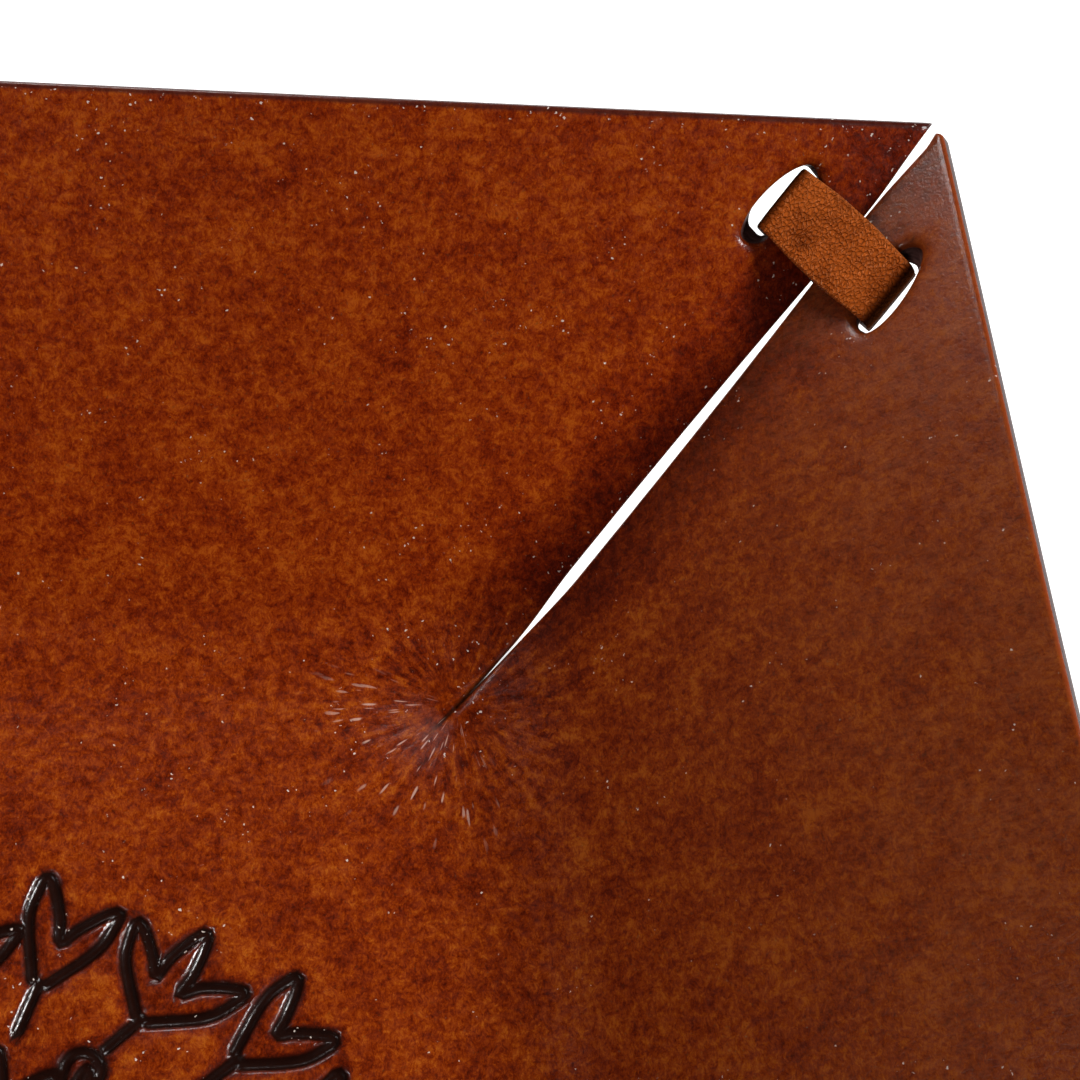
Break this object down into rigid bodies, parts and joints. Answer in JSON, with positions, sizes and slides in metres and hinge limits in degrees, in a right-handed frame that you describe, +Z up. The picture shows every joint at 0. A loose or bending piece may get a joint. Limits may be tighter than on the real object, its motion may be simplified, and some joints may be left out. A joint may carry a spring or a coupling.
{
  "type": "leather catch-all tray",
  "caption": "Square leather tray with turned-up walls, each darted corner drawn together by a leather strap through two slots, and a tooled tree on the base.",
  "frame": {"origin": "centre of the underside of the flat base", "axes": "+Z up out of the tray, +X and +Y square to the right and back walls"},
  "size_m": [0.2496, 0.2496, 0.049],
  "materials": {
    "sheet_leather": "glossy dyed vegetable-tanned leather, mottled red-brown",
    "strap_leather": "satin pebble-grained leather, tan-brown"
  },
  "bodies": {
    "tray": {"base_panel": "sheet_leather", "wall_right": "sheet_leather", "wall_back": "sheet_leather", "wall_left": "sheet_leather", "wall_front": "sheet_leather"},
    "strap_back_right_body": {"strap_back_right": "strap_leather"},
    "strap_back_left_body": {"strap_back_left": "strap_leather"},
    "strap_front_left_body": {"strap_front_left": "strap_leather"},
    "strap_front_right_body": {"strap_front_right": "strap_leather"}
  },
  "joints": [
    {"name": "strap_back_right_play", "type": "slide", "parent": "tray", "child": "strap_back_right_body", "axis": [0.5839, 0.5839, 0.5639], "range_m": [-0.0003, 0.0003]},
    {"name": "strap_back_left_play", "type": "slide", "parent": "tray", "child": "strap_back_left_body", "axis": [-0.5839, 0.5839, 0.5639], "range_m": [-0.0003, 0.0003]},
    {"name": "strap_front_left_play", "type": "slide", "parent": "tray", "child": "strap_front_left_body", "axis": [-0.5839, -0.5839, 0.5639], "range_m": [-0.0003, 0.0003]},
    {"name": "strap_front_right_play", "type": "slide", "parent": "tray", "child": "strap_front_right_body", "axis": [0.5839, -0.5839, 0.5639], "range_m": [-0.0003, 0.0003]}
  ]
}
